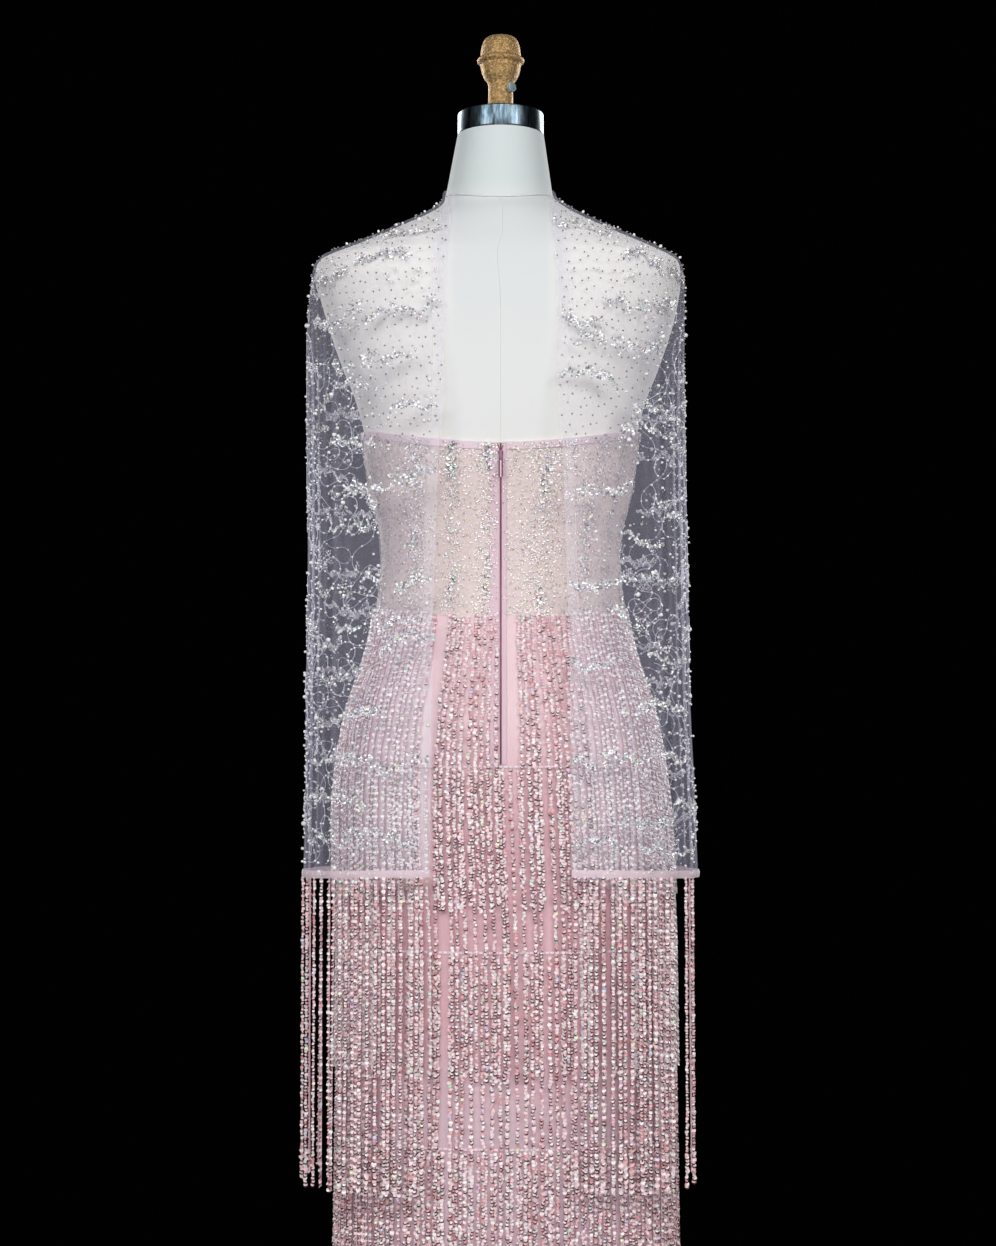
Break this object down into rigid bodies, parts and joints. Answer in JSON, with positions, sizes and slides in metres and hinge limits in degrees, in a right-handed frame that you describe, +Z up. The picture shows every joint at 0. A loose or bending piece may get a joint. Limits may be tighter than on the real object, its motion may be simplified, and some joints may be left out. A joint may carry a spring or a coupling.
{
  "type": "fringe dress on dress form",
  "caption": "Strapless column dress with rows of long sequin fringe and a sheer open-backed cape edged with the same fringe, shown on a limbless dress form with a neck cap, knob and pole stand.",
  "frame": {"origin": "on the floor, on the axis of the stand's pole, at the middle of the object's bottom", "axes": "+Z up; the gown faces -Y, so the zip and the cape's opening are on the +Y side; the wearer's left is +X"},
  "size_m": [0.4106, 0.4, 1.6845],
  "materials": {
    "nude_mesh": "nude lining with thick silver and pink sequins and beads sewn over it",
    "pink_satin": "soft satin, rose",
    "sequin_fringe": "strands of small cup sequins on thread, pink and silver",
    "lavender_tulle": "sheer tulle with scattered silver beads",
    "pink_binding": "plain pink tape",
    "plated_zip": "small zip, plated and dyed pink",
    "form_cloth": "smooth white jersey over a hard form",
    "chrome": "polished",
    "cast_brass": "cast, dark gold, lightly worn",
    "blue_steel": "zinc plated, bluish",
    "stand_paint": "pale grey powder coat"
  },
  "bodies": {
    "gown": {"bodice_back_side_left": "nude_mesh", "bodice_back_side_right": "nude_mesh", "bodice_back_centre_left": "nude_mesh", "bodice_back_centre_right": "nude_mesh", "bodice_front_side_left": "nude_mesh", "bodice_front_side_right": "nude_mesh", "bodice_front_centre": "nude_mesh", "bodice_binding": "pink_binding", "skirt_front": "pink_satin", "skirt_back_left": "pink_satin", "skirt_back_right": "pink_satin", "fringe_tier_1": "sequin_fringe", "fringe_tier_2": "sequin_fringe", "fringe_tier_3": "sequin_fringe", "fringe_tier_4": "sequin_fringe", "fringe_tier_5": "sequin_fringe", "zip_chain": "plated_zip", "zip_tape_left": "pink_binding", "zip_tape_right": "pink_binding", "zip_slider": "plated_zip", "cape_front": "lavender_tulle", "cape_back_left": "lavender_tulle", "cape_back_right": "lavender_tulle", "cape_band_left": "lavender_tulle", "cape_band_right": "lavender_tulle", "cape_binding_front": "pink_binding", "cape_binding_back_left": "pink_binding", "cape_binding_back_right": "pink_binding", "cape_fringe_front": "sequin_fringe", "cape_fringe_back_left": "sequin_fringe", "cape_fringe_back_right": "sequin_fringe", "form_torso": "form_cloth", "form_neck": "form_cloth", "neck_cap": "chrome", "finial_knob": "cast_brass", "finial_screw": "blue_steel", "stand_collar": "stand_paint", "stand_pole": "chrome", "stand_base": "stand_paint"},
    "zip_pull": {"zip_pull": "plated_zip"}
  },
  "joints": [
    {"name": "zip_pull_swing", "type": "hinge", "parent": "gown", "child": "zip_pull", "pos_m": [0, 0.09664, 1.22504], "axis": [1, 0, 0], "range_deg": [0, 120]}
  ]
}
